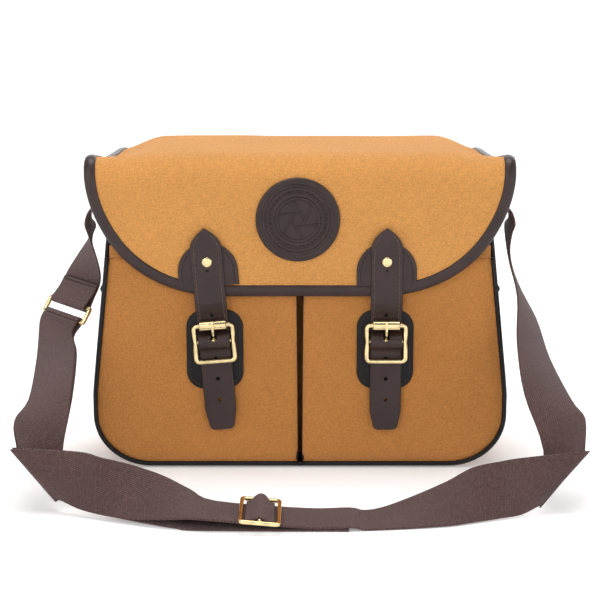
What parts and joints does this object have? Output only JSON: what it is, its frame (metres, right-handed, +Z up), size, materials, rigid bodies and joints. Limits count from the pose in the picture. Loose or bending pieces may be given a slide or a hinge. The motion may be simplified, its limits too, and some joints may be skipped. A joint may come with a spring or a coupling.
{
  "type": "camera bag",
  "caption": "Flap-over canvas shoulder bag for a camera with front pockets, two buckled leather closing straps, a padded insert and a wide webbing strap",
  "frame": {"origin": "centre of the flat base, on the surface that the bag stands on", "axes": "+X to the right seen from the front, +Y from the front to the back, +Z up"},
  "size_m": [0.5154, 0.3161, 0.3117],
  "materials": {
    "canvas": "woven cotton canvas, matt",
    "side_canvas": "woven cotton canvas, matt",
    "lining": "plain cotton lining, matt",
    "padding": "padded brushed lining, matt",
    "board": "stiffening board, matt",
    "leather": "dark brown smooth leather, satin",
    "black_leather": "near-black leather trim, satin",
    "brass": "polished pale brass",
    "webbing": "dark brown twill webbing, matt"
  },
  "bodies": {
    "bag_body": {"front_panel": "canvas", "back_panel": "canvas", "gusset_band": "side_canvas", "base_board": "board", "front_piping": "black_leather", "back_piping": "black_leather", "mouth_binding": "leather", "padded_insert": "padding", "divider_left": "padding", "divider_right": "padding", "pocket_left": "canvas", "pocket_right": "canvas", "pocket_piping_left": "black_leather", "pocket_piping_right": "black_leather", "pocket_hem_left": "lining", "pocket_hem_right": "lining", "pocket_patch_left": "black_leather", "pocket_patch_right": "black_leather", "snap_socket_left": "brass", "snap_socket_right": "brass", "gusset_patch_left": "leather", "gusset_patch_right": "leather", "sewn_webbing_left": "webbing", "sewn_webbing_right": "webbing", "side_tab_left": "black_leather", "side_tab_right": "black_leather", "tab_rivets": "brass"},
    "flap": {"flap_canvas": "canvas", "flap_lining": "lining", "flap_binding": "leather", "badge": "leather", "flap_patch_left": "leather", "flap_patch_right": "leather", "closing_strap_left": "leather", "closing_strap_right": "leather", "strap_rivet_left": "brass", "strap_rivet_right": "brass"},
    "strap_left": {"strap_tail_left": "leather", "buckle_frame_left": "brass", "snap_stud_left": "brass"},
    "strap_right": {"strap_tail_right": "leather", "buckle_frame_right": "brass", "snap_stud_right": "brass"},
    "roller_left": {"buckle_roller_left": "brass"},
    "roller_right": {"buckle_roller_right": "brass"},
    "prong_left": {"buckle_prong_left": "brass"},
    "prong_right": {"buckle_prong_right": "brass"},
    "ring_left": {"d_ring_left": "brass"},
    "ring_right": {"d_ring_right": "brass"},
    "shoulder_strap": {"shoulder_webbing": "webbing", "webbing_return": "webbing", "anchor_webbing": "webbing", "strap_ring": "brass"},
    "slider": {"slider_frame": "brass", "slider_bar": "brass", "slider_webbing": "webbing"}
  },
  "joints": [
    {"name": "flap_hinge", "type": "hinge", "parent": "bag_body", "child": "flap", "pos_m": [0, 0.0475, 0.2854], "axis": [-1, 0, 0], "range_deg": [0, 180]},
    {"name": "strap_left_swing", "type": "hinge", "parent": "flap", "child": "strap_left", "pos_m": [-0.0844, -0.0912, 0.168], "axis": [-0.9969, 0, -0.0785], "range_deg": [0, 85]},
    {"name": "roller_left_turn", "type": "hinge", "parent": "strap_left", "child": "roller_left", "pos_m": [-0.08243, -0.0901, 0.14293], "axis": [0.9969, 0, 0.0785], "continuous": true},
    {"name": "prong_left_tilt", "type": "hinge", "parent": "strap_left", "child": "prong_left", "pos_m": [-0.08122, -0.0901, 0.12762], "axis": [0.9969, 0, 0.0785], "range_deg": [0, 6]},
    {"name": "strap_right_swing", "type": "hinge", "parent": "flap", "child": "strap_right", "pos_m": [0.0816, -0.0912, 0.168], "axis": [-1, 0, 0], "range_deg": [0, 85]},
    {"name": "roller_right_turn", "type": "hinge", "parent": "strap_right", "child": "roller_right", "pos_m": [0.0816, -0.0901, 0.14285], "axis": [1, 0, 0], "continuous": true},
    {"name": "prong_right_tilt", "type": "hinge", "parent": "strap_right", "child": "prong_right", "pos_m": [0.0816, -0.0901, 0.1275], "axis": [1, 0, 0], "range_deg": [0, 6]},
    {"name": "ring_left_swing", "type": "hinge", "parent": "bag_body", "child": "ring_left", "pos_m": [-0.19664, 0.018, 0.158], "axis": [0, 1, 0], "range_deg": [0, 60]},
    {"name": "ring_right_swing", "type": "hinge", "parent": "bag_body", "child": "ring_right", "pos_m": [0.19664, 0.018, 0.158], "axis": [0, -1, 0], "range_deg": [0, 60]},
    {"name": "strap_lift", "type": "hinge", "parent": "bag_body", "child": "shoulder_strap", "pos_m": [0, 0, 0.218], "axis": [-1, 0, 0], "range_deg": [0, 150]},
    {"name": "slider_slide", "type": "slide", "parent": "shoulder_strap", "child": "slider", "axis": [0.9962, 0, -0.0872], "range_m": [-0.018, 0.018]}
  ]
}
